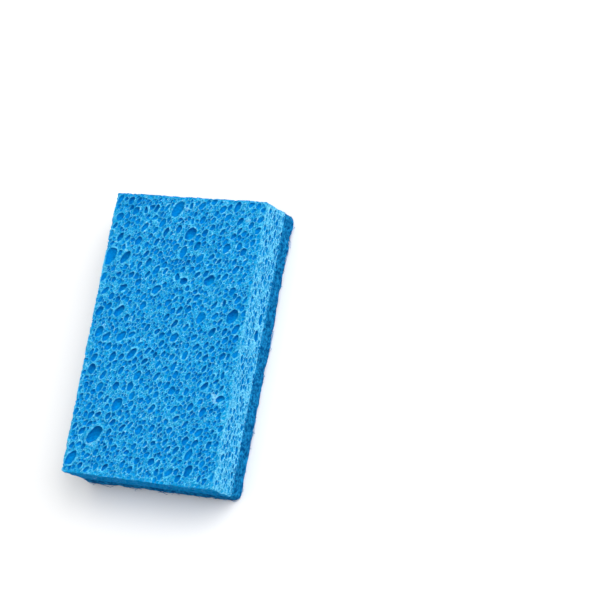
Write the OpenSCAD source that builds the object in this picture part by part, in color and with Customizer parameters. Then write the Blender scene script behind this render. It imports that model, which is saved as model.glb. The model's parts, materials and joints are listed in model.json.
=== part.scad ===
/* [Sponge] */
// Length of the sponge
sponge_length = 114; // [95:1:150]
// Width of the sponge
sponge_width = 70; // [55:1:90]
// Thickness of the porous cellulose block
block_thickness = 14.5; // [10:0.5:25]
// Thickness of the scouring pad under it
pad_thickness = 7.5; // [5:0.5:12]

/* [Edges] */
// Radius of the cellulose block's upright corners
block_corner_radius = 1; // [0.5:0.25:3]
// Radius of the scouring pad's upright corners
pad_corner_radius = 3; // [2.5:0.5:6]
// Radius of the scouring pad's lower edge
pad_edge_radius = 1; // [0.5:0.5:2.5]

/* [Pores] */
// Number of pores cut open by the broad face
face_pores = 240; // [20:10:250]
// Half length of the largest pore in the broad face
face_pore_reach = 5; // [2:0.1:6]
// Number of pores cut open by the side walls
wall_pores = 120; // [10:10:130]
// Half length of the largest pore in the side walls
wall_pore_reach = 2.8; // [1:0.1:4]
// Direction of the pores' long axes, turned from the width towards the length
grain_angle = 55; // [0:5:90]
// Width of a pore as a share of its length
pore_slimness = 0.6; // [0.5:0.02:0.8]
// Depth of a pore as a share of its half length
pore_depth_share = 0.6; // [0.3:0.05:0.8]
// Wall kept between neighbouring pores
pore_wall = 0.3; // [0.2:0.05:1]

/* [Hidden] */

block_top = pad_thickness + block_thickness;
girth = 2 * (sponge_length + sponge_width);

// How fast the pores get smaller, from the first to the last
size_fall = 0.2;
// Largest turn of a pore's long axis to either side of the grain
pore_swing = 12;
// How much slimmer or fatter than the rest a pore may be
slimness_spread = 0.08;
widest = pore_slimness + slimness_spread;
// The largest pores, as a share of a surface's pores, have a rounded bowl
bowl_share = 0.15;
// How deep a pore is, against the usual depth
shallowest = 0.8;
deepest = 1.3;
// Outline half way down a bowl and of a pore's floor, against its mouth
bowl_taper = 0.92;
floor_taper = 0.5;
// How far a bowl's floor may lie towards either end, as a share of its half length
floor_shift = 0.2;
// How far a cutting shape stands out of the surface that it opens
proud = 0.05;
// Places that are looked at before a surface counts as full
most_places = 1500;
// Corners of the outline of a pore with a bowl and of one without
bowl_sides = 9;
well_sides = 7;
// Steps of a full turn on the block's corners and on the pad's edges
block_steps = 12;
pad_steps = 24;
// Height of the flat cone that a bowl's floor is spanned from: its point lies inside
leaf = 0.01;

// Evenly strewn numbers from 0 to 1, the same each time: one for each place and use
function chance(place, use) =
    let (x = 43758.5453 * sin(127.1 * (place + 1) + 311.7 * use))
    x - floor(x);
function between(low, high, share) = low + (high - low) * share;
function pore_size(reach, i) = reach * pow(i + 1, -size_fall);

// A pore is the middle of its mouth, its half length, the number of its place,
// whether it has a bowl, and how far its opening is turned: up, or out of a side wall
MOUTH = 0;
SIZE = 1;
PLACE = 2;
BOWL = 3;
FACING = 4;
UP = "up";

function face_pore(place, i) = [
    [sponge_width * (chance(place, 1) - 0.5), sponge_length * (chance(place, 2) - 0.5), block_top],
    pore_size(face_pore_reach, i), place, i < face_pores * bowl_share, UP
];

// The point at a distance round the side walls
function wall_point(s) =
    s < sponge_length ? [sponge_width / 2, s - sponge_length / 2]
    : s < girth / 2 ? [sponge_width / 2 + sponge_length - s, sponge_length / 2]
    : -wall_point(s - girth / 2);
function wall_turn(s) =
    s < sponge_length ? 0 : s < girth / 2 ? 90 : 180 + wall_turn(s - girth / 2);

function wall_pore(place, i) =
    let (
        size = pore_size(wall_pore_reach, i),
        s = girth * chance(place, 1),
        lowest = pad_thickness + size * widest + pore_wall,
        z = between(lowest, block_top, chance(place, 2))
    )
    [
        [wall_point(s)[0], wall_point(s)[1], z],
        size, place, i < wall_pores * bowl_share, wall_turn(s)
    ];

// Measured along the grain and widened across it, every pore is about a ball
function widened(p) = [
    p[0] * cos(grain_angle) + p[1] * sin(grain_angle),
    (p[1] * cos(grain_angle) - p[0] * sin(grain_angle)) / widest,
    p[2] / widest
];
function meets(a, b) =
    norm(widened(a[MOUTH] - b[MOUTH])) < a[SIZE] + b[SIZE] + pore_wall / widest;
function is_clear(pore, others) = len([for (other = others) if (meets(pore, other)) other]) == 0;

// The largest pore takes the first place, and each smaller one the next place that is free
function settle(pore_at, wanted, taken, i = 0, place = 0) =
    i == wanted || place == most_places ? taken
    : let (pore = pore_at(place, i), fits = is_clear(pore, taken))
      settle(pore_at, wanted, fits ? concat(taken, [pore]) : taken, fits ? i + 1 : i, place + 1);

open_face = settle(function (place, i) face_pore(place, i), face_pores, []);
pores = settle(function (place, i) wall_pore(place, i), wall_pores, open_face);

// A well that opens upwards at its origin and lies along X
module well(size, place, bowl) {
    slimness = between(pore_slimness - slimness_spread, widest, chance(place, 4));
    depth = size * pore_depth_share * between(shallowest, deepest, chance(place, 5));
    shift = size * floor_shift * (2 * chance(place, 6) - 1);
    scale([1, slimness, 1])
        if (bowl)
            hull() {
                translate([0, 0, -depth / 2])
                    cylinder(h = depth / 2 + proud, r1 = size * bowl_taper, r2 = size, $fn = bowl_sides);
                translate([shift, 0, -depth])
                    cylinder(h = leaf, r1 = size * floor_taper, r2 = 0, $fn = bowl_sides);
            }
        else
            translate([0, 0, -depth])
                cylinder(h = depth + proud, r1 = size * floor_taper, r2 = size, $fn = well_sides);
}

module pore(pore) {
    swing = pore_swing * (2 * chance(pore[PLACE], 7) - 1);
    translate(pore[MOUTH])
        if (pore[FACING] == UP)
            rotate(grain_angle + swing)
                well(pore[SIZE], pore[PLACE], pore[BOWL]);
        else
            rotate([0, 90, pore[FACING]])
                rotate(90 + swing)
                    well(pore[SIZE], pore[PLACE], pore[BOWL]);
}

// Its child, repeated where the centres of the sponge's rounded corners are
module at_corners(radius) {
    for (x = [-1, 1], y = [-1, 1])
        translate([x * (sponge_width / 2 - radius), y * (sponge_length / 2 - radius), 0])
            children();
}

module cellulose_block() {
    color("deepskyblue")
        difference() {
            translate([0, 0, pad_thickness])
                linear_extrude(block_thickness) {
                    square([sponge_width - 2 * block_corner_radius, sponge_length], center = true);
                    square([sponge_width, sponge_length - 2 * block_corner_radius], center = true);
                    at_corners(block_corner_radius)
                        circle(block_corner_radius, $fn = block_steps);
                }
            for (pore = pores)
                pore(pore);
        }
}

module pad_corner() {
    translate([0, 0, pad_edge_radius])
        rotate_extrude($fn = pad_steps)
            translate([pad_corner_radius - pad_edge_radius, 0])
                intersection() {
                    circle(pad_edge_radius, $fn = pad_steps);
                    translate([0, -pad_edge_radius]) square(pad_edge_radius);
                }
    translate([0, 0, pad_edge_radius])
        cylinder(h = pad_thickness - pad_edge_radius, r = pad_corner_radius, $fn = pad_steps);
}

module scour_pad() {
    color("mediumblue")
        hull()
            at_corners(pad_corner_radius) pad_corner();
}

cellulose_block();
scour_pad();
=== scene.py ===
import json
import math

import bpy
import bmesh
import numpy as np
from mathutils import Matrix, Vector, noise

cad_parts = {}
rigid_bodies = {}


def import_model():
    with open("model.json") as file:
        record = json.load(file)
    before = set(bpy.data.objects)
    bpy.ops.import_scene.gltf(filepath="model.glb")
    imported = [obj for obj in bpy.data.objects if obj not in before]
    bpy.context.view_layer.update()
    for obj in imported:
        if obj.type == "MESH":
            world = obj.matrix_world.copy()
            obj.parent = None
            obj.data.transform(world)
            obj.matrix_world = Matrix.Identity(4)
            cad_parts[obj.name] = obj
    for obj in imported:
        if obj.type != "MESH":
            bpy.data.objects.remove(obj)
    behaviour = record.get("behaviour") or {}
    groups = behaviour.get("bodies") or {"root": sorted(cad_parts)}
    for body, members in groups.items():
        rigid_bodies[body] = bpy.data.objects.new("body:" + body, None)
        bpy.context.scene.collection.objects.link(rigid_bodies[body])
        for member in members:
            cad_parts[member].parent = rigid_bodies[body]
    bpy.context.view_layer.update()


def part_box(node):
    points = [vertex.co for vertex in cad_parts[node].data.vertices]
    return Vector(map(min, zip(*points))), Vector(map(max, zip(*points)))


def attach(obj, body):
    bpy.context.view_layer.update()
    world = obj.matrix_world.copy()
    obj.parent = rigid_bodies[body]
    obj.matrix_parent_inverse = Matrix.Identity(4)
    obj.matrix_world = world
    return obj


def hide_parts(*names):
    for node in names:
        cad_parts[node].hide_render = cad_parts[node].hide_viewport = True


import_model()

bl_info = {
    "name": "Two-layer cleaning sponge",
    "version": (1, 0, 0),
    "blender": (4, 5, 0),
    "location": "3D View > Sidebar > Sponge",
    "description": "Cellulose sponge on a scouring pad: pores, fibres, finishes, stage and camera",
    "category": "Object",
}

MM = 0.001
TINY = 1e-9
BLOCK_LOW, BLOCK_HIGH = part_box("cellulose_block")
PAD_LOW, PAD_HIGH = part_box("scour_pad")
WIDTH = BLOCK_HIGH.x - BLOCK_LOW.x
LENGTH = BLOCK_HIGH.y - BLOCK_LOW.y
HEIGHT = BLOCK_HIGH.z - BLOCK_LOW.z


class SpongePores(bpy.types.PropertyGroup):
    """Counts and sizes of the cellulose block and its pores."""

    corner: bpy.props.FloatProperty(
        name="Corner", description="Radius of the block's upright corners",
        default=1 * MM, min=0.1 * MM, unit="LENGTH",
    )
    face_pores: bpy.props.IntProperty(
        name="Face pores", description="Large pores cut open by the broad face", default=240, min=20
    )
    face_reach: bpy.props.FloatProperty(
        name="Face reach", description="Half length of the largest face pore",
        default=5 * MM, min=MM, unit="LENGTH",
    )
    wall_pores: bpy.props.IntProperty(
        name="Wall pores", description="Large pores cut open by the side walls", default=120, min=10
    )
    wall_reach: bpy.props.FloatProperty(
        name="Wall reach", description="Half length of the largest wall pore",
        default=2.8 * MM, min=MM, unit="LENGTH",
    )
    grain: bpy.props.FloatProperty(
        name="Grain", description="Direction of the pores' long axes, from the width to the length",
        default=math.radians(55), subtype="ANGLE",
    )
    slimness: bpy.props.FloatProperty(
        name="Slimness", description="Width of a large pore as a share of its length",
        default=0.6, min=0.3,
    )
    pore_wall: bpy.props.FloatProperty(
        name="Pore wall", description="Wall kept between neighbouring large pores",
        default=0.3 * MM, min=0.1 * MM, unit="LENGTH",
    )
    small_reach: bpy.props.FloatProperty(
        name="Small reach", description="Half length of the largest small cell",
        default=1.7 * MM, min=0.5 * MM, unit="LENGTH",
    )
    smallest_reach: bpy.props.FloatProperty(
        name="Smallest reach", description="Half length of the smallest cell",
        default=0.4 * MM, min=0.3 * MM, unit="LENGTH",
    )
    cell_wall: bpy.props.FloatProperty(
        name="Cell wall", description="Thickness of the walls that all cells share",
        default=0.15 * MM, min=0.05 * MM, unit="LENGTH",
    )
    tries: bpy.props.FloatProperty(
        name="Tries", description="Places for small cells that are looked at on a square metre",
        default=5e6, min=0,
    )
    waviness: bpy.props.FloatProperty(
        name="Waviness", description="How far the foam is out of true",
        default=0.28 * MM, min=0, unit="LENGTH",
    )


class SpongePad(bpy.types.PropertyGroup):
    """Sizes of the scouring pad and its fibres."""

    corner: bpy.props.FloatProperty(
        name="Corner", description="Radius of the pad's upright corners",
        default=3 * MM, min=2.5 * MM, unit="LENGTH",
    )
    edge: bpy.props.FloatProperty(
        name="Edge", description="Radius of the pad's lower edge",
        default=1 * MM, min=0.5 * MM, unit="LENGTH",
    )
    waviness: bpy.props.FloatProperty(
        name="Waviness", description="How far the pad's sides are out of true",
        default=0.5 * MM, min=0, unit="LENGTH",
    )
    side_fibres: bpy.props.IntProperty(
        name="Side fibres", description="Fibres that show on the pad's sides", default=3400, min=1
    )
    floor_fibres: bpy.props.IntProperty(
        name="Underside fibres", description="Fibres that show on the pad's underside",
        default=3400, min=1,
    )
    fibre_radius: bpy.props.FloatProperty(
        name="Fibre radius", description="Radius of one fibre",
        default=0.07 * MM, min=0.03 * MM, unit="LENGTH",
    )
    fibre_step: bpy.props.FloatProperty(
        name="Fibre step", description="Length of one stretch of a fibre",
        default=1.5 * MM, min=0.5 * MM, unit="LENGTH",
    )


def colour_property(name, description, value):
    """A colour from 0 to 1 in red, green and blue."""
    return bpy.props.FloatVectorProperty(
        name=name, description=description, subtype="COLOR", size=3, default=value, min=0, max=1
    )


class SpongeColours(bpy.types.PropertyGroup):
    """Colours of the two layers and the floor."""

    # The light wall colours and the darker cell colours are partly the foam's own, partly painted
    # highlight on the walls and painted shade in the cells
    rim: colour_property("Cell walls", "Thin walls of the broad face's cells", (0.12, 0.67, 1.0))
    membrane: colour_property("Membranes", "Thin skin over shallow cells", (0.0, 0.37, 0.67))
    cell: colour_property("Cells", "Cellulose just inside the broad face's cells", (0.0, 0.31, 0.72))
    # Darker at the floors of cells: partly the foam's deeper blue, partly painted shade
    deep: colour_property("Sunken cells", "Cellulose at the floor of a small cell", (0.0, 0.22, 0.64))
    # The long walls' paler colours are partly the finer cut, partly painted light
    side_rim: colour_property("Side cell walls", "Thin walls of the side walls' cells", (0.18, 0.7, 1.0))
    # The ends' darker blue walls are painted shade
    shaded_end_rim: colour_property("End cell walls", "Thin walls of the ends' cells", (0.0, 0.31, 0.85))
    side_cell: colour_property(
        "Side cells", "Cellulose just inside the side walls' cells", (0.0, 0.33, 0.72)
    )
    pad: colour_property("Pad", "Darker fibres and body of the scouring pad", (0.0, 0.09, 0.3))
    fibre: colour_property("Fibres", "Lighter fibres of the scouring pad", (0.015, 0.33, 0.68))
    # Pale for the glints and for patches that are partly dried skin and partly painted glints
    pale: colour_property(
        "Pale skin", "Dried skin on the broad face, and glints on cell walls", (0.3, 0.72, 1.0)
    )
    floor: colour_property("Floor", "Floor under the sponge", (0.95, 0.95, 0.95))


class SpongeStage(bpy.types.PropertyGroup):
    """Floor, light and camera."""

    floor_size: bpy.props.FloatProperty(
        name="Floor size", description="Length of the floor's sides", default=6, min=1, unit="LENGTH"
    )
    light_distance: bpy.props.FloatProperty(
        name="Light distance", description="Distance of both lights from the sponge's underside",
        default=2, min=0.5, unit="LENGTH",
    )
    key_size: bpy.props.FloatProperty(
        name="Key light size", description="Length of the sides of the light from the right",
        default=1.7, min=0.1, unit="LENGTH",
    )
    top_size: bpy.props.FloatProperty(
        name="Top light size", description="Length of the sides of the light overhead",
        default=2.8, min=0.1, unit="LENGTH",
    )

    key: bpy.props.FloatProperty(
        name="Key light", description="Power of the light that comes from the right",
        default=34, min=0, unit="POWER",
    )
    top: bpy.props.FloatProperty(
        name="Top light", description="Power of the light overhead", default=32, min=0, unit="POWER"
    )
    sky: bpy.props.FloatProperty(
        name="Sky", description="Strength of the even light from all round", default=0.28, min=0
    )
    aim: bpy.props.FloatVectorProperty(
        name="Aim", description="Point in the middle of the picture",
        size=3, default=(50.68 * MM, 21.71 * MM, 11 * MM), unit="LENGTH",
    )
    distance: bpy.props.FloatProperty(
        name="Distance", description="Distance of the camera from its aim",
        default=1.038, min=0.3, unit="LENGTH",
    )
    azimuth: bpy.props.FloatProperty(
        name="Azimuth", description="Way to the camera, from the front to the right",
        default=math.radians(70.1), subtype="ANGLE",
    )
    elevation: bpy.props.FloatProperty(
        name="Elevation", description="Height of the camera over the level",
        default=math.radians(58.19), subtype="ANGLE",
    )
    roll: bpy.props.FloatProperty(
        name="Roll", description="Turn of the camera about its own axis",
        default=math.radians(62.13), subtype="ANGLE",
    )
    lens: bpy.props.FloatProperty(
        name="Lens", description="Focal length of the camera in millimetres",
        default=162, min=10, unit="CAMERA",
    )


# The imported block's rule for its large pores, so that each one here lies over its own there
SIZE_FALL = 0.2
SLIMNESS_SPREAD = 0.08
MOST_PLACES = 1500
STREW_RANGE, STREW_PLACE, STREW_USE = 43758.5453, 127.1, 311.7
# The broad face's number among the block's sides, after those of the four walls
FACE = 4

# Squares that the foam and the pad's core start from, and steps of the foam's upright corners
FOAM_STEP = 2.5 * MM
CORE_STEP = 1.25 * MM
CORNER_STEPS = 3
# Seeds of the random draws and of the smooth noises
FOAM_SEED, FIBRE_SEED = 11, 5
WAVE_SEED, RIPPLE_SEED, BULGE_SEED, ROUGH_SEED = 1, 2, 5, 6
# The foam's unevenness: long waves, and ripples that are lower by a share
WAVE_LENGTH = 3 * MM
RIPPLE_LENGTH = 1.2 * MM
RIPPLE_SHARE = 0.5

# How deep a pore is, as a share of its half length, and how that varies
DEPTH_SHARE = 0.75
SMALL_DEPTH_SHARE = 0.95
SHALLOWEST, DEEPEST = 0.4, 1.3
# How far a pore's floor lies off its middle, as a share of its half length
LEAN = 0.15
# Rings of a pore, each a share of its outline at a share of its depth, and the sizes they are for
OPEN_PROFILE = ((1.0, 0.0), (0.97, 0.4), (0.74, 0.82))
MIDDLE_PROFILE = ((1.0, 0.0), (0.85, 0.6))
SMALL_PROFILE = ((1.0, 0.0),)
WIDE_FROM = 3 * MM
OPEN_FROM = 1.5 * MM
MIDDLE_FROM = 0.58 * MM
# How far a pit stands out of the side that it opens
PROUD = 0.06 * MM
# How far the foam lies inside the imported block's side walls
INSET = 0.15 * MM
# Wall kept along the block's edges, and the small cells that cross an edge all the same
EDGE_WALL = 0.15 * MM
WIDE_EDGE_WALL = 0.5 * MM
BOTTOM_WALL = 0.1 * MM
CROSSING_BELOW = 1.2 * MM
CROSSING_SHARE = 0.55
CROSSING_REACH = 0.5 * MM
# A crossing cell is shallow if it lies nearer to the edge than this many of its half lengths
CROSSING_NEAR = 2
# Edges of an outline that are shorter are left out
SHORTEST = 0.12 * MM
# Depth of a cell near an edge, as a share of its distance from the edge, and at least
EDGE_DEPTH_SHARE = 0.6
LEAST_DEPTH = 0.1 * MM
CROSSING_DEPTH = 0.45 * MM
# Small cells that are a good deal deeper than the rest, and so darker
DEEP_SHARE = 0.07
DEEPER = 1.6
# Unevenness of a large pore's outline: least share of its width and of its reach, and its turn
SQUEEZE = 0.6
DENT = 0.84
SWING = math.radians(32)
# Where a large pore's corners are cut, as a share of its edges
CORNER_CUT = 0.25
# Least and greatest wall round a cell, against the usual wall
WALL_SPREAD = (0.6, 1.7)
# The higher this power, the more of the small cells are near the smallest
SMALLNESS = 2
# Neighbours that may bound a cell
MOST_NEIGHBOURS = 24

# How far the pad's core lies inside its surface, and how rough it is over what length
CORE_INSET = 0.1 * MM
CORE_ROUGHNESS = 0.12 * MM
ROUGH_LENGTH = 1.5 * MM
# Length of the bulges in the pad's sides, which are level only, and the share left at the seam
BULGE_LENGTH = 4 * MM
LEVEL = (1, 1, 0)
SEAM_BULGE = 0.3
# Kept free of fibres under the seam
SEAM_GAP = 0.1 * MM

FIBRE_POINTS = 6
# The pad faces down where its normal has a smaller level part than this
DOWN_BELOW = 0.3
# Spreads of a side fibre's tilt, of a fibre's steady curl and of its bend at each step, in radians
FIBRE_TILT = 0.35
FIBRE_CURL = 0.25
FIBRE_BEND = 0.12
# A fibre's height over the pad in millimetres: at its start, its change at each step, its limits
START_LIFT = (-0.08, 0.12)
LIFT_CHANGE = 0.04
LEAST_LIFT, MOST_LIFT = -0.1, 1.2
# Share of the fibres that stray from the pad, and how far they rise at each step in millimetres
STRAY_SHARE = 0.04
STRAY_RISE = (0.1, 0.25)

SMOOTH_BELOW = math.radians(60)


def chance(place, use):
    """A number from 0 to 1, evenly strewn and the same each time, for each place and use."""
    turn = (STREW_PLACE * (place + 1) + STREW_USE * use) % 360
    x = STREW_RANGE * math.sin(math.radians(turn))
    return x - math.floor(x)


def between(low, high, share):
    return low + (high - low) * share


def deselect_all():
    if bpy.context.object and bpy.context.object.mode != "OBJECT":
        bpy.ops.object.mode_set(mode="OBJECT")
    bpy.ops.object.select_all(action="DESELECT")


def only(obj):
    """Makes obj the one selected and active object."""
    deselect_all()
    obj.select_set(True)
    bpy.context.view_layer.objects.active = obj
    return obj


def named(obj, name):
    obj.name = obj.data.name = name
    return obj


def added(name, data):
    """A new object of the given data in the scene."""
    obj = bpy.data.objects.new(name, data)
    bpy.context.scene.collection.objects.link(obj)
    return obj


def vertex_array(mesh):
    places = np.empty(len(mesh.vertices) * 3, np.float32)
    mesh.vertices.foreach_get("co", places)
    return places.reshape(-1, 3).astype(float)


def set_vertices(mesh, places):
    mesh.vertices.foreach_set("co", places.astype(np.float32).ravel())
    mesh.update()


def store(obj, name, values):
    """Keeps one number for each vertex, for a material to read."""
    obj.data.attributes.new(name, "FLOAT", "POINT").data.foreach_set("value", values.astype(np.float32))


def select_upright_edges(obj, length):
    """Selects a box's upright edges, in edit mode."""
    shape = bmesh.from_edit_mesh(obj.data)
    for edge in shape.edges:
        low, high = sorted(vertex.co.z for vertex in edge.verts)
        edge.select_set(high - low > length / 2)
    bmesh.update_edit_mesh(obj.data)


def grid_block(name, low, high, step, corner=0.0):
    """A box with rounded upright corners, cut into squares of about step on every side."""
    deselect_all()
    bpy.ops.mesh.primitive_cube_add(size=1, location=(low + high) / 2)
    obj = named(bpy.context.object, name)
    obj.dimensions = high - low
    bpy.ops.object.transform_apply(location=True, rotation=False, scale=True)
    bpy.ops.object.mode_set(mode="EDIT")
    if corner:
        bpy.ops.mesh.select_mode(type="EDGE")
        bpy.ops.mesh.select_all(action="DESELECT")
        select_upright_edges(obj, high.z - low.z)
        bpy.ops.mesh.bevel(offset=corner, segments=CORNER_STEPS, affect="EDGES")
    for axis in range(3):
        count = max(1, round((high[axis] - low[axis]) / step))
        normal = [float(axis == k) for k in range(3)]
        for i in range(1, count):
            place = [0.0, 0.0, 0.0]
            place[axis] = between(low[axis], high[axis], i / count)
            bpy.ops.mesh.select_all(action="SELECT")
            bpy.ops.mesh.bisect(plane_co=place, plane_no=normal)
    bpy.ops.object.mode_set(mode="OBJECT")
    return obj


def smooth_noise(places, wavelength, seed):
    """Three smooth noises from -1 to 1 at each place, the same in every run for the same seed."""
    noise.seed_set(seed)
    return np.array([noise.noise_vector(Vector(p) / wavelength) for p in places])


def face_point(place):
    return WIDTH * (chance(place, 1) - 0.5), LENGTH * (chance(place, 2) - 0.5), BLOCK_HIGH.z


def wall_point(s):
    """The point at a distance round the side walls."""
    half_girth = LENGTH + WIDTH
    if s >= half_girth:
        x, y = wall_point(s - half_girth)
        return -x, -y
    return (WIDTH / 2, s - LENGTH / 2) if s < LENGTH else (WIDTH / 2 + LENGTH - s, LENGTH / 2)


def wall_number(s):
    """0 to 3, for the wall that is reached at a distance round the side walls."""
    half_girth = LENGTH + WIDTH
    return 2 * int(s >= half_girth) + int(s % half_girth >= LENGTH)


def settle(pore_at, wanted, pores, taken):
    """The largest pore takes the first place, each smaller one the next place that is free."""
    widest = pores.slimness + SLIMNESS_SPREAD
    c, s = math.cos(pores.grain), math.sin(pores.grain)

    def widened(p):
        return np.array([p[0] * c + p[1] * s, (p[1] * c - p[0] * s) / widest, p[2] / widest])

    found = []
    for place in range(MOST_PLACES):
        if len(found) == wanted:
            break
        mouth, size, side = pore_at(place, len(found))
        spot = widened(mouth)
        if all(np.linalg.norm(spot - p) >= size + r + pores.pore_wall / widest for p, r in taken):
            taken.append((spot, size))
            found.append((Vector(mouth), size, side))
    return found


def large_pores(pores):
    """The middle of the mouth, half length and side of each large pore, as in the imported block."""
    widest = pores.slimness + SLIMNESS_SPREAD

    def on_face(place, i):
        return face_point(place), pores.face_reach * (i + 1) ** -SIZE_FALL, FACE

    def on_wall(place, i):
        size = pores.wall_reach * (i + 1) ** -SIZE_FALL
        s = 2 * (LENGTH + WIDTH) * chance(place, 1)
        lowest = BLOCK_LOW.z + size * widest + pores.pore_wall
        return (*wall_point(s), between(lowest, BLOCK_HIGH.z, chance(place, 2))), size, wall_number(s)

    taken = []
    found = settle(on_face, pores.face_pores, pores, taken)
    return found + settle(on_wall, pores.wall_pores, pores, taken)


class Side:
    """One cut side of the block: its middle, the ways along and up it, its size and its grain."""

    def __init__(self, middle, along, up, size, grain, widest):
        self.middle, self.along, self.up = (np.array(v, float) for v in (middle, along, up))
        self.out = np.cross(self.along, self.up)
        self.half = np.array(size) / 2
        self.grain, self.widest = grain, widest

    def flat(self, point):
        """A point of the block in the side's own two directions."""
        away = np.array(point) - self.middle
        return np.array([away @ self.along, away @ self.up])

    def widened(self, flat):
        """Turned along the grain and widened across it, so that every cell is about round."""
        c, s = math.cos(self.grain), math.sin(self.grain)
        a, b = np.asarray(flat).T
        return np.stack([a * c + b * s, (b * c - a * s) / self.widest], axis=-1)

    def solid(self, wide, height):
        """Widened points back in the block's frame, at a height over the side."""
        c, s = math.cos(self.grain), math.sin(self.grain)
        u, v = np.asarray(wide).T
        v = v * self.widest
        a, b = u * c - v * s, u * s + v * c
        return self.middle + np.outer(a, self.along) + np.outer(b, self.up) + height * self.out

    def frame(self, grow):
        """The side's outline in widened points, grown on all sides."""
        a, b = self.half + grow
        bottom = -b if self.out[2] or grow > 0 else BOTTOM_WALL - self.half[1]
        return self.widened([(-a, bottom), (a, bottom), (a, b), (-a, b)])

    def from_edge(self, wide):
        """How far a widened point lies inside the side's open edges."""
        c, s = math.cos(self.grain), math.sin(self.grain)
        u, v = wide[0], wide[1] * self.widest
        a, b = abs(u * c - v * s), u * s + v * c
        return min(self.half[0] - a, self.half[1] - (abs(b) if self.out[2] else b))


def block_sides(pores):
    """The four walls from +X round to -Y, and the broad face."""
    widest = pores.slimness + SLIMNESS_SPREAD
    z = (BLOCK_HIGH.z + BLOCK_LOW.z) / 2
    up = (0, 0, 1)
    return [
        Side((WIDTH / 2, 0, z), (0, 1, 0), up, (LENGTH, HEIGHT), 0, widest),
        Side((0, LENGTH / 2, z), (-1, 0, 0), up, (WIDTH, HEIGHT), 0, widest),
        Side((-WIDTH / 2, 0, z), (0, -1, 0), up, (LENGTH, HEIGHT), 0, widest),
        Side((0, -LENGTH / 2, z), (1, 0, 0), up, (WIDTH, HEIGHT), 0, widest),
        Side((0, 0, BLOCK_HIGH.z), (1, 0, 0), (0, 1, 0), (WIDTH, LENGTH), pores.grain, widest),
    ]


def fill_side(side, sites, pores, random):
    """Adds small cells to the sites: each time in the widest gap that is left."""
    area = 4 * side.half[0] * side.half[1]
    count = int(area * pores.tries)
    wide = side.widened(random.uniform(-1, 1, (count, 2)) * side.half)
    room = np.full(count, np.inf)
    for point, size in sites:
        room = np.minimum(room, np.linalg.norm(wide - point, axis=1) - size)
    while True:
        best = int(np.argmax(room))
        if room[best] < pores.smallest_reach:
            return
        largest = between(pores.smallest_reach, pores.small_reach, random.uniform() ** SMALLNESS)
        size = min(room[best], largest)
        sites.append((wide[best], size))
        room = np.minimum(room, np.linalg.norm(wide - wide[best], axis=1) - size)


def clipped(outline, normal, reach):
    """The part of a convex outline on the near side of a line."""
    beyond = outline @ normal - reach
    kept = []
    for i, here in enumerate(beyond):
        if here <= 0:
            kept.append(outline[i])
        following = (i + 1) % len(outline)
        ahead = beyond[following]
        if (here < 0 < ahead) or (ahead < 0 < here):
            kept.append(outline[i] + (outline[following] - outline[i]) * here / (here - ahead))
    return np.array(kept).reshape(-1, 2)


def cell_outline(i, points, sizes, start, wall):
    """The outline of one cell: up to its neighbours', with half a wall kept."""
    outline = start - points[i]
    away = points - points[i]
    distance = np.linalg.norm(away, axis=1)
    distance[i] = 1 / TINY
    reach = (distance ** 2 + sizes[i] ** 2 - sizes ** 2) / (2 * distance) - wall / 2
    for j in np.argsort(reach)[:MOST_NEIGHBOURS]:
        if j == i or len(outline) < 3:
            continue
        if reach[j] > np.max(np.linalg.norm(outline, axis=1)):
            break
        outline = clipped(outline, away[j] / distance[j], reach[j])
    return outline


def dented(outline, random):
    """Pulls an outline in, unevenly and more across one way, so that no pore is a plain oval."""
    turn = random.normal(0, SWING)
    across = np.array([-math.sin(turn), math.cos(turn)])
    outline = outline - np.outer(outline @ across, across) * (1 - random.uniform(SQUEEZE, 1))
    return outline * random.uniform(DENT, 1, (len(outline), 1))


def rounded_outline(outline):
    """Cuts off every corner of an outline."""
    ahead = np.roll(outline, -1, axis=0)
    rest = 1 - CORNER_CUT
    pair = np.stack([rest * outline + CORNER_CUT * ahead, CORNER_CUT * outline + rest * ahead], axis=1)
    return pair.reshape(-1, 2)


def without_short_edges(outline):
    ahead = np.roll(outline, -1, axis=0)
    return outline[np.linalg.norm(ahead - outline, axis=1) > SHORTEST]


def pit(side, middle, outline, profile, depth, lean):
    """Points and faces of a closed pit that opens out of a side, down to a floor point."""
    points = [
        side.solid(middle + outline * share + lean * sunk, PROUD - (depth + PROUD) * sunk)
        for share, sunk in profile
    ]
    points.append(side.solid(middle + [lean], -depth))
    count = len(outline)
    faces = [list(range(count))]
    for top in range(0, (len(profile) - 1) * count, count):
        for k in range(count):
            ahead = (k + 1) % count
            faces.append([top + k, top + count + k, top + count + ahead, top + ahead])
    floor = len(profile) * count
    last = floor - count
    faces += [[last + k, floor, last + (k + 1) % count] for k in range(count)]
    return np.concatenate(points), faces


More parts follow.
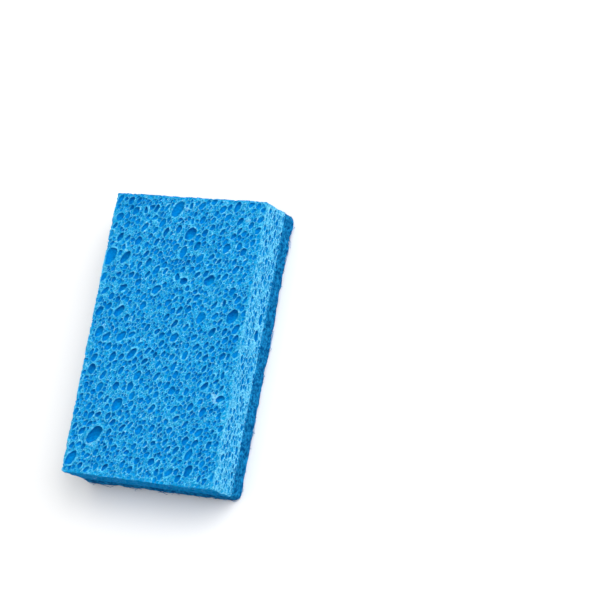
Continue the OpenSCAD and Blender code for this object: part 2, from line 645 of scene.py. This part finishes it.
def pits_tool(side, sites, pores, random):
    """All pits of one side in one mesh."""
    points = np.array([place for place, _ in sites])
    sizes = np.array([size for _, size in sites])
    over, inner, wide_inner = (side.frame(g) for g in (CROSSING_REACH, -EDGE_WALL, -WIDE_EDGE_WALL))
    places, faces, total = [], [], 0
    for i, size in enumerate(sizes):
        wall = pores.cell_wall * random.uniform(*WALL_SPREAD)
        crosses = size < CROSSING_BELOW and random.uniform() < CROSSING_SHARE
        start = over if crosses else wide_inner if size > OPEN_FROM else inner
        outline = cell_outline(i, points, sizes, start, wall)
        if len(outline) >= 3:
            outline = without_short_edges(outline)
        if len(outline) < 3:
            continue
        profile = SMALL_PROFILE
        if size > OPEN_FROM:
            outline, profile = rounded_outline(dented(outline, random)), OPEN_PROFILE
            if size > WIDE_FROM:
                outline = rounded_outline(outline)
        elif size > MIDDLE_FROM:
            profile = MIDDLE_PROFILE
        depth = size * random.uniform(SHALLOWEST, DEEPEST)
        depth *= DEPTH_SHARE if size > OPEN_FROM else SMALL_DEPTH_SHARE
        if size < OPEN_FROM and random.uniform() < DEEP_SHARE:
            depth *= DEEPER
        if not crosses:
            depth = min(depth, max(LEAST_DEPTH, EDGE_DEPTH_SHARE * side.from_edge(points[i])))
        elif side.from_edge(points[i]) < CROSSING_NEAR * size:
            depth = min(depth, CROSSING_DEPTH)
        lean = random.uniform(-LEAN, LEAN, 2) * size
        pit_points, pit_faces = pit(side, points[i], outline, profile, depth, lean)
        places.append(pit_points)
        faces += [[k + total for k in face] for face in pit_faces]
        total += len(pit_points)
    mesh = bpy.data.meshes.new("pits")
    mesh.from_pydata(np.concatenate(places).tolist(), [], faces)
    return added("pits", mesh)


def cut(body, tool):
    """Takes the tool's shape out of the body and deletes the tool."""
    only(body)
    carve = body.modifiers.new("Pores", "BOOLEAN")
    carve.operation = "DIFFERENCE"
    carve.solver = "MANIFOLD"
    carve.object = tool
    faces_before = len(body.data.polygons)
    bpy.ops.object.modifier_apply(modifier=carve.name)
    bpy.data.objects.remove(tool)
    if len(body.data.polygons) <= faces_before:
        raise RuntimeError("The pores of a side could not be cut")


def drop_crumbs(obj):
    """Keeps only what hangs together with the block's lowest corner."""
    only(obj)
    bpy.ops.object.mode_set(mode="EDIT")
    bpy.ops.mesh.select_mode(type="VERT")
    bpy.ops.mesh.select_all(action="DESELECT")
    bpy.ops.object.mode_set(mode="OBJECT")
    count = len(obj.data.vertices)
    min(obj.data.vertices, key=lambda vertex: sum(vertex.co)).select = True
    bpy.ops.object.mode_set(mode="EDIT")
    bpy.ops.mesh.select_linked()
    bpy.ops.mesh.select_all(action="INVERT")
    bpy.ops.mesh.delete(type="VERT")
    bpy.ops.object.mode_set(mode="OBJECT")
    if len(obj.data.vertices) < count / 2:
        raise RuntimeError("The pores have cut the block apart")


def split_into_triangles(obj):
    """Splits all faces while the sides are still flat, so that none folds over when they get uneven."""
    only(obj)
    bpy.ops.object.mode_set(mode="EDIT")
    bpy.ops.mesh.select_all(action="SELECT")
    bpy.ops.mesh.quads_convert_to_tris(quad_method="BEAUTY", ngon_method="BEAUTY")
    bpy.ops.object.mode_set(mode="OBJECT")


def under_surface(places, corner):
    """How deep each place lies under the nearest cut side, and which that is: 1 for the long walls,
    -1 for the ends and 0 for the broad face."""
    half = np.array([WIDTH, LENGTH]) / 2 - INSET - corner
    over = np.abs(places[:, :2]) - half
    outside = np.linalg.norm(np.maximum(over, 0), axis=1)
    from_wall = corner - outside - np.minimum(over.max(axis=1), 0)
    from_face = BLOCK_HIGH.z - places[:, 2]
    which = np.where(over[:, 0] > over[:, 1], 1.0, -1.0)
    return np.minimum(from_wall, from_face), which * (from_wall < from_face)


def rounded(points, pad):
    """The nearest points of the pad's surface, and the ways that it faces there."""
    half = np.array([PAD_HIGH.x, PAD_HIGH.y]) - pad.corner
    core = np.clip(points[:, :2], -half, half)
    away = points[:, :2] - core
    reach = np.linalg.norm(away, axis=1, keepdims=True)
    inner = np.empty_like(points)
    inner[:, :2] = core + away / np.maximum(reach, TINY) * np.minimum(reach, pad.corner - pad.edge)
    inner[:, 2] = np.clip(points[:, 2], PAD_LOW.z + pad.edge, PAD_HIGH.z)
    out = points - inner
    normal = out / np.maximum(np.linalg.norm(out, axis=1, keepdims=True), TINY)
    return inner + pad.edge * normal, normal


def bulge(points, pad):
    """How far the pad's sides stand out or in at some points: less near the seam."""
    level = pad.waviness * smooth_noise(points, BULGE_LENGTH, BULGE_SEED) * LEVEL
    return level * np.clip((PAD_HIGH.z - points[:, 2:]) / MM, SEAM_BULGE, 1)


def fibre_lines(starts, pad, random):
    """Fibres that wander over the pad from their starts, each bent a little at every step."""
    count = len(starts)
    points, normal = rounded(starts, pad)
    along = np.cross(normal, [0, 0, 1.0])
    flat = np.linalg.norm(along, axis=1, keepdims=True) < DOWN_BELOW
    along = np.where(flat, [1.0, 0, 0], along)
    up = np.cross(along, normal)
    turn = random.normal(0, FIBRE_TILT, (count, 1))
    turn = np.where(flat, random.uniform(0, 2 * math.pi, (count, 1)), turn)
    heading = (along * np.cos(turn) + up * np.sin(turn)) * random.choice([-1, 1], (count, 1))
    lift = random.uniform(*START_LIFT, (count, 1)) * MM
    strays = random.uniform(0, 1, (count, 1)) < STRAY_SHARE
    stray = strays * random.uniform(*STRAY_RISE, (count, 1)) * MM
    curl = random.normal(0, FIBRE_CURL, (count, 1))
    line = []
    for _ in range(FIBRE_POINTS):
        line.append(points + normal * lift)
        bend = curl + random.normal(0, FIBRE_BEND, (count, 1))
        heading = heading * np.cos(bend) + np.cross(normal, heading) * np.sin(bend)
        points, normal = rounded(points + heading * pad.fibre_step, pad)
        points[:, 2] = np.minimum(points[:, 2], PAD_HIGH.z - SEAM_GAP)
        heading -= normal * np.sum(heading * normal, axis=1, keepdims=True)
        heading /= np.maximum(np.linalg.norm(heading, axis=1, keepdims=True), TINY)
        lift = lift + random.normal(0, LIFT_CHANGE, (count, 1)) * MM + stray
        lift = np.clip(lift, LEAST_LIFT * MM, MOST_LIFT * MM)
    lines = np.stack(line, axis=1)
    lines += bulge(lines.reshape(-1, 3), pad).reshape(lines.shape)
    lines[..., 2] = np.clip(lines[..., 2], PAD_LOW.z + pad.fibre_radius, PAD_HIGH.z)
    return lines


def fibre_piece(name, lines, pad, finish):
    """One mesh of many thin fibres."""
    curve = bpy.data.curves.new(name, "CURVE")
    curve.dimensions = "3D"
    curve.bevel_depth = pad.fibre_radius
    curve.bevel_resolution = 0
    curve.use_fill_caps = True
    for line in lines:
        spline = curve.splines.new("POLY")
        spline.points.add(len(line) - 1)
        spline.points.foreach_set("co", np.hstack([line, np.ones((len(line), 1))]).ravel())
    only(added(name, curve))
    bpy.ops.object.convert(target="MESH")
    obj = named(bpy.context.object, name)
    bpy.ops.object.shade_smooth()
    obj.data.materials.clear()
    obj.data.materials.append(finish)
    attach(obj, "root")


class Signal:
    """A socket that varies over the surface; arithmetic with it adds Math nodes."""

    def __init__(self, finish, socket):
        self.finish, self.socket = finish, socket

    def math(self, operation, *values):
        return self.finish.add("Math", {"operation": operation}, dict(enumerate(values)))

    def __add__(self, other):
        return self.math("ADD", self, other)

    def __mul__(self, other):
        return self.math("MULTIPLY", self, other)

    def __rsub__(self, other):
        return self.math("SUBTRACT", other, self)

    def at_most(self, other):
        return self.math("MINIMUM", self, other)

    def from_to(self, low, high):
        """0 below low, 1 above high and smooth between them."""
        return self.finish.add("MapRange", {"interpolation_type": "SMOOTHSTEP"},
                               {"Value": self, "From Min": low, "From Max": high})


# The Mix node's sockets for colours
MIX_SHARE, MIX_FIRST, MIX_SECOND = 0, 6, 7
MIX_RESULT = 2


class Finish:
    """A material being made; its nodes are added through one method."""

    def __init__(self, name):
        self.material = bpy.data.materials.new(name)
        self.material.use_nodes = True
        self.tree = self.material.node_tree
        self.shader = self.tree.nodes["Principled BSDF"]

    def add(self, kind, settings=None, inputs=None, output=0):
        node = self.tree.nodes.new("ShaderNode" + kind)
        for name, value in (settings or {}).items():
            setattr(node, name, value)
        for name, value in (inputs or {}).items():
            self.put(node.inputs[name], value)
        return Signal(self, node.outputs[output])

    def put(self, socket, value):
        if isinstance(value, Signal):
            self.tree.links.new(value.socket, socket)
        else:
            socket.default_value = value

    def set(self, **values):
        for name, value in values.items():
            self.put(self.shader.inputs[name.replace("_", " ")], value)

    def place(self):
        return self.add("TexCoord", output="Object")

    def number(self, name):
        """A number that the piece keeps for each vertex."""
        return self.add("Attribute", {"attribute_name": name}, output="Fac")

    def mix(self, share, first, second):
        inputs = {MIX_SHARE: share, MIX_FIRST: as_colour(first), MIX_SECOND: as_colour(second)}
        return self.add("Mix", {"data_type": "RGBA"}, inputs, output=MIX_RESULT)

    def drawn_out(self, place, size):
        """Places counted in cells of a size that lie along the foam's streaks."""
        scale = tuple(size * share for share in STREAK_SHARES)
        inputs = {"Vector": place, "Rotation": (0, 0, STREAK_TURN), "Scale": scale}
        return self.add("Mapping", {"vector_type": "TEXTURE"}, inputs)

    def web(self, place, size):
        """Distance from the nearest wall of the finest foam, in cells."""
        inputs = {"Vector": self.drawn_out(place, size), "Scale": 1.0}
        return self.add("TexVoronoi", {"feature": "DISTANCE_TO_EDGE"}, inputs)

    def streaks(self, place, size, detail):
        """Noise that is drawn out along the finest foam's streaks."""
        return self.noise(self.drawn_out(place, size), 1, detail)

    def noise(self, place, size, detail=2.0):
        return self.add("TexNoise", {}, {"Vector": place, "Scale": 1 / size, "Detail": detail})


def as_colour(value):
    return value if isinstance(value, Signal) else (*value, 1.0)


# The layers hardly shine, and what they reflect is blue
SHINE = 0.02
SHEEN = (0.25, 0.65, 1.0, 1.0)
# The finest foam is drawn out along streaks: how far along, across and up, and their direction
STREAK_SHARES = (1.6, 0.8, 0.8)
STREAK_TURN = math.radians(38)

# Sizes of what varies in the cellulose's colours and relief, from the widest to the finest
CLOUD_SIZE = 14 * MM
SKIN_SIZE = 8 * MM
SHADE_SIZE = 6 * MM
PATCH_SIZE = 2.2 * MM
FLECK_SIZE = 1.2 * MM
WEB_SIZE = 1.1 * MM
GRIT_SIZE = 0.9 * MM
GLINT_SIZE = 0.75 * MM
SPECK_SIZE = 0.65 * MM
# From which value each of them shows, and from which in full
SKIN_RANGE = (0.69, 0.76)
SHADE_RANGE = (0.25, 0.5)
PATCH_RANGE = (0.38, 0.62)
FLECK_RANGE = (0.42, 0.62)
MEMBRANE_RANGE = (0.45, 0.6)
GLINT_RANGE = (0.56, 0.7)
SPECK_RANGE = (0.54, 0.66)
# Distances from a wall of the web, in cells, over which it fades
WEB_RANGE = (0.0, 0.1)
# Depths in millimetres under the nearest side over which the foam's colour changes, partly as painted
# shade in the pits and painted highlight on their lips
EDGE_DEPTHS = (0.0, 0.09)
SUNK_DEPTHS = (0.05, 0.6)
WEB_DEPTHS = (0.1, 0.6)
SKIN_DEPTHS = (0.1, 0.5)
MEMBRANE_DEPTHS = (0.3, 1.0)
FLOOR_DEPTHS = (0.9, 2.2)
# How much the depth, partly as painted shade, and the flecks darken a cell
SUNK_SHARE = 0.9
FLECK_SHARE = 0.4
# How light a cell's edge is in its patches, everywhere and on a long wall, and how light the web is; the
# edge's light is partly painted highlight, and the long walls' extra light partly painted light
PATCH_SHARE = 0.5
EVERYWHERE_SHARE = 0.12
LONG_WALL_SHARE = 0.3
WEB_SHARE = 0.45
# How far the clouds vary that light, what is left without them, and what the specks take away; the specks
# are painted shade in pores too small to model
CLOUD_SHARE = 0.6
CLOUDLESS_SHARE = 0.7
SPECK_SHARE = 0.75
# How much of the glints the ends lack, and how much the pale patches cover, which are partly dried skin
# and partly painted glints
END_LACK = 0.8
SKIN_SHARE = 0.6
# Relief of the finest foam: its height, and the web's share of it
RELIEF = 0.6 * MM
RELIEF_WEB_SHARE = 0.25
CELLULOSE_ROUGHNESS = 0.6

CORE_FLECK_SIZE = 0.8 * MM
CORE_FINISH_ROUGHNESS = 0.7
FIBRE_FLECK_SIZE = 1.6 * MM
FIBRE_FINISH_ROUGHNESS = 0.5
PAD_FLECK_RANGE = (0.35, 0.65)
FLOOR_ROUGHNESS = 0.8


def cellulose_finish(colours):
    """Light walls and darker cells, by the depth under the nearest side and by which side it is. These
    are partly the foam's own colours and partly painted light: painted shade in the pits, painted
    highlight on their lips, painted light on the long walls and painted shade on the ends.
    """
    finish = Finish("cellulose")
    place = finish.place()
    depth = finish.number("depth")
    which = finish.number("side")
    on_long, on_end = which.from_to(0.0, 1.0), (0 - which).from_to(0.0, 1.0)
    patch = finish.noise(place, PATCH_SIZE).from_to(*PATCH_RANGE)
    cloud = finish.noise(place, CLOUD_SIZE)
    fleck = finish.noise(place, FLECK_SIZE)
    shade = finish.noise(place, SHADE_SIZE).from_to(*SHADE_RANGE)
    skin = finish.noise(place, SKIN_SIZE, detail=3.0).from_to(*SKIN_RANGE)
    web = 1 - finish.web(place, WEB_SIZE).from_to(*WEB_RANGE)
    speck = finish.streaks(place, SPECK_SIZE, detail=0.0).from_to(*SPECK_RANGE)
    glint = finish.streaks(place, GLINT_SIZE, detail=1.0).from_to(*GLINT_RANGE)
    grit = finish.streaks(place, GRIT_SIZE, detail=1.0)

    # Darker with depth: partly the foam's deeper blue, partly painted shade in the pits; the floors of
    # deep pores are lightened in places
    sunk = depth.from_to(*SUNK_DEPTHS) * (1 - depth.from_to(*FLOOR_DEPTHS) * shade)
    inside = sunk * SUNK_SHARE + fleck.from_to(*FLECK_RANGE) * FLECK_SHARE
    membrane = fleck.from_to(*MEMBRANE_RANGE) * (1 - depth.from_to(*MEMBRANE_DEPTHS))
    cell = finish.mix(on_long, colours.cell, colours.side_cell)
    cell = finish.mix(membrane, cell, colours.membrane)
    cell = finish.mix(inside.at_most(1.0), cell, colours.deep)

    # The ends take a darker rim colour, which is painted shade
    rim = finish.mix(on_end, finish.mix(on_long, colours.rim, colours.side_rim), colours.shaded_end_rim)
    # Light at the lips of the cells: partly the thin walls' paler colour, partly painted highlight
    edge = 1 - depth.from_to(*EDGE_DEPTHS)
    glow = edge * (patch * PATCH_SHARE + EVERYWHERE_SHARE)
    glow = glow + web * (1 - depth.from_to(*WEB_DEPTHS)) * WEB_SHARE
    # Lighter long walls: partly the finer cut, partly painted light
    glow = glow + on_long * edge * LONG_WALL_SHARE
    glow = glow * (cloud * CLOUD_SHARE + CLOUDLESS_SHARE) * (1 - speck * SPECK_SHARE)
    glow = glow.at_most(1.0)

    colour = finish.mix(glow, cell, rim)
    colour = finish.mix(glint * glow * (1 - on_end * END_LACK), colour, colours.pale)
    # Pale patches: partly dried skin, partly painted glints
    colour = finish.mix(skin * (1 - depth.from_to(*SKIN_DEPTHS)) * SKIN_SHARE, colour, colours.pale)
    relief = {"Height": web * RELIEF_WEB_SHARE + grit, "Distance": RELIEF, "Strength": 1.0}
    finish.set(Base_Color=colour, Roughness=CELLULOSE_ROUGHNESS, Normal=finish.add("Bump", {}, relief),
               Specular_IOR_Level=SHINE, Specular_Tint=SHEEN)
    return finish.material


def pad_finish(name, colours, size, roughness):
    """Flecks of the pad's two blues, as large as the given size."""
    finish = Finish(name)
    fleck = finish.noise(finish.place(), size, detail=3.0)
    colour = finish.mix(fleck.from_to(*PAD_FLECK_RANGE), colours.pad, colours.fibre)
    finish.set(Base_Color=colour, Roughness=roughness, Specular_IOR_Level=SHINE, Specular_Tint=SHEEN)
    return finish.material


def floor_finish(colours):
    finish = Finish("floor")
    finish.set(Base_Color=as_colour(colours.floor), Roughness=FLOOR_ROUGHNESS)
    return finish.material


# The ways from the sponge to the two lights
KEY_WAY = (0.66, 0.36, 0.66)
TOP_WAY = (0.1, 0.15, 1.0)
WHITE = (1, 1, 1, 1)
# The camera's sensor in millimetres, and the distances between which it sees
SENSOR_WIDTH = 36
NEAREST, FARTHEST = 0.01, 20


def area_light(name, way, distance, size, power):
    """A square light that shines at the sponge from one way."""
    light = bpy.data.lights.new(name, "AREA")
    light.size, light.energy = size, power
    obj = added(name, light)
    back = Vector(way).normalized()
    obj.location = back * distance
    obj.rotation_euler = back.to_track_quat("Z", "Y").to_euler()


class SPONGE_OT_cellulose(bpy.types.Operator):
    """Adds the cellulose foam with all its pores"""

    bl_idname = "sponge.add_cellulose"
    bl_label = "Cellulose foam"

    def execute(self, context):
        pores, colours = context.scene.sponge_pores, context.scene.sponge_colours
        inset = Vector((INSET, INSET, 0))
        obj = grid_block("cellulose_foam", BLOCK_LOW + inset, BLOCK_HIGH - inset, FOAM_STEP, pores.corner)
        random = np.random.default_rng(FOAM_SEED)
        large = large_pores(pores)
        for number, side in enumerate(block_sides(pores)):
            sites = [(side.widened(side.flat(mouth)), size) for mouth, size, on in large if on == number]
            fill_side(side, sites, pores, random)
            cut(obj, pits_tool(side, sites, pores, random))
        drop_crumbs(obj)
        split_into_triangles(obj)

        places = vertex_array(obj.data)
        depth, which = under_surface(places, pores.corner)
        store(obj, "depth", depth / MM)
        store(obj, "side", which)
        waves = smooth_noise(places, WAVE_LENGTH, WAVE_SEED)
        waves = waves + RIPPLE_SHARE * smooth_noise(places, RIPPLE_LENGTH, RIPPLE_SEED)
        over_bottom = np.clip((places[:, 2:] - BLOCK_LOW.z) / MM, 0, 1)
        set_vertices(obj.data, places + pores.waviness * waves * over_bottom)
        only(obj)
        bpy.ops.object.shade_smooth_by_angle(angle=SMOOTH_BELOW)
        obj.data.materials.clear()
        obj.data.materials.append(cellulose_finish(colours))
        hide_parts("cellulose_block")
        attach(obj, "root")
        return {"FINISHED"}


class SPONGE_OT_pad(bpy.types.Operator):
    """Adds the body of the scouring pad"""

    bl_idname = "sponge.add_pad"
    bl_label = "Scouring pad"

    def execute(self, context):
        pad, colours = context.scene.sponge_pad, context.scene.sponge_colours
        obj = grid_block("scour_pad_core", PAD_LOW, PAD_HIGH, CORE_STEP)
        surface, normal = rounded(vertex_array(obj.data), pad)
        places = surface - CORE_INSET * normal
        rough = CORE_ROUGHNESS * smooth_noise(places, ROUGH_LENGTH, ROUGH_SEED) * LEVEL
        set_vertices(obj.data, places + bulge(places, pad) + rough)
        only(obj)
        bpy.ops.object.shade_smooth_by_angle(angle=SMOOTH_BELOW)
        finish = pad_finish("scour_pad", colours, CORE_FLECK_SIZE, CORE_FINISH_ROUGHNESS)
        obj.data.materials.append(finish)
        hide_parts("scour_pad")
        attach(obj, "root")
        return {"FINISHED"}


class SPONGE_OT_fibres(bpy.types.Operator):
    """Adds the fibres that show on the scouring pad's sides and underside"""

    bl_idname = "sponge.add_fibres"
    bl_label = "Scouring fibres"

    def execute(self, context):
        pad, colours = context.scene.sponge_pad, context.scene.sponge_colours
        finish = pad_finish("scour_fibres", colours, FIBRE_FLECK_SIZE, FIBRE_FINISH_ROUGHNESS)
        random = np.random.default_rng(FIBRE_SEED)
        round_sides = random.uniform(0, 2 * (LENGTH + WIDTH), pad.side_fibres)
        rim = np.array([wall_point(s) for s in round_sides])
        height = random.uniform(PAD_LOW.z, PAD_HIGH.z - SEAM_GAP, pad.side_fibres)
        lines = fibre_lines(np.column_stack([rim, height]), pad, random)
        fibre_piece("scour_fibres_side", lines, pad, finish)
        starts = random.uniform(PAD_LOW, PAD_HIGH, (pad.floor_fibres, 3))
        starts[:, 2] = PAD_LOW.z
        fibre_piece("scour_fibres_underside", fibre_lines(starts, pad, random), pad, finish)
        return {"FINISHED"}


class SPONGE_OT_stage(bpy.types.Operator):
    """Adds the floor, the light and the camera"""

    bl_idname = "sponge.add_stage"
    bl_label = "Stage and camera"

    def execute(self, context):
        scene, stage = context.scene, context.scene.sponge_stage
        deselect_all()
        bpy.ops.mesh.primitive_plane_add(size=stage.floor_size)
        floor = named(bpy.context.object, "floor")
        floor.data.materials.append(floor_finish(scene.sponge_colours))
        area_light("key", KEY_WAY, stage.light_distance, stage.key_size, stage.key)
        area_light("top", TOP_WAY, stage.light_distance, stage.top_size, stage.top)
        world = bpy.data.worlds.new("studio")
        world.use_nodes = True
        world.node_tree.nodes["Background"].inputs["Color"].default_value = WHITE
        world.node_tree.nodes["Background"].inputs["Strength"].default_value = stage.sky
        scene.world = world
        scene.view_settings.view_transform = "Standard"

        camera = bpy.data.cameras.new("camera")
        camera.lens, camera.sensor_width = stage.lens, SENSOR_WIDTH
        camera.clip_start, camera.clip_end = NEAREST, FARTHEST
        level = math.cos(stage.elevation)
        back = Vector((
            math.sin(stage.azimuth) * level, -math.cos(stage.azimuth) * level, math.sin(stage.elevation)
        ))
        scene.camera = added("camera", camera)
        scene.camera.matrix_world = (
            Matrix.Translation(Vector(stage.aim) + back * stage.distance)
            @ back.to_track_quat("Z", "Y").to_matrix().to_4x4()
            @ Matrix.Rotation(-stage.roll, 4, "Z")
        )
        return {"FINISHED"}


OPERATORS = (SPONGE_OT_cellulose, SPONGE_OT_pad, SPONGE_OT_fibres, SPONGE_OT_stage)
GROUPS = {
    "sponge_pores": SpongePores,
    "sponge_pad": SpongePad,
    "sponge_colours": SpongeColours,
    "sponge_stage": SpongeStage,
}


class SPONGE_PT_parts(bpy.types.Panel):
    """Lists the pieces and the stage with their sizes and colours"""

    bl_idname = "SPONGE_PT_parts"
    bl_label = "Sponge"
    bl_space_type = "VIEW_3D"
    bl_region_type = "UI"
    bl_category = "Sponge"

    def draw(self, context):
        for operator in OPERATORS:
            self.layout.operator(operator.bl_idname)
        for name, group in GROUPS.items():
            box = self.layout.box()
            for prop in group.__annotations__:
                box.prop(getattr(context.scene, name), prop)


CLASSES = (*GROUPS.values(), *OPERATORS, SPONGE_PT_parts)


def register():
    for cls in CLASSES:
        bpy.utils.register_class(cls)
    for name, group in GROUPS.items():
        setattr(bpy.types.Scene, name, bpy.props.PointerProperty(type=group))


def unregister():
    for name in GROUPS:
        delattr(bpy.types.Scene, name)
    for cls in reversed(CLASSES):
        bpy.utils.unregister_class(cls)


def main():
    register()
    bpy.ops.sponge.add_cellulose()
    bpy.ops.sponge.add_pad()
    bpy.ops.sponge.add_fibres()
    bpy.ops.sponge.add_stage()


if __name__ == "__main__":
    main()
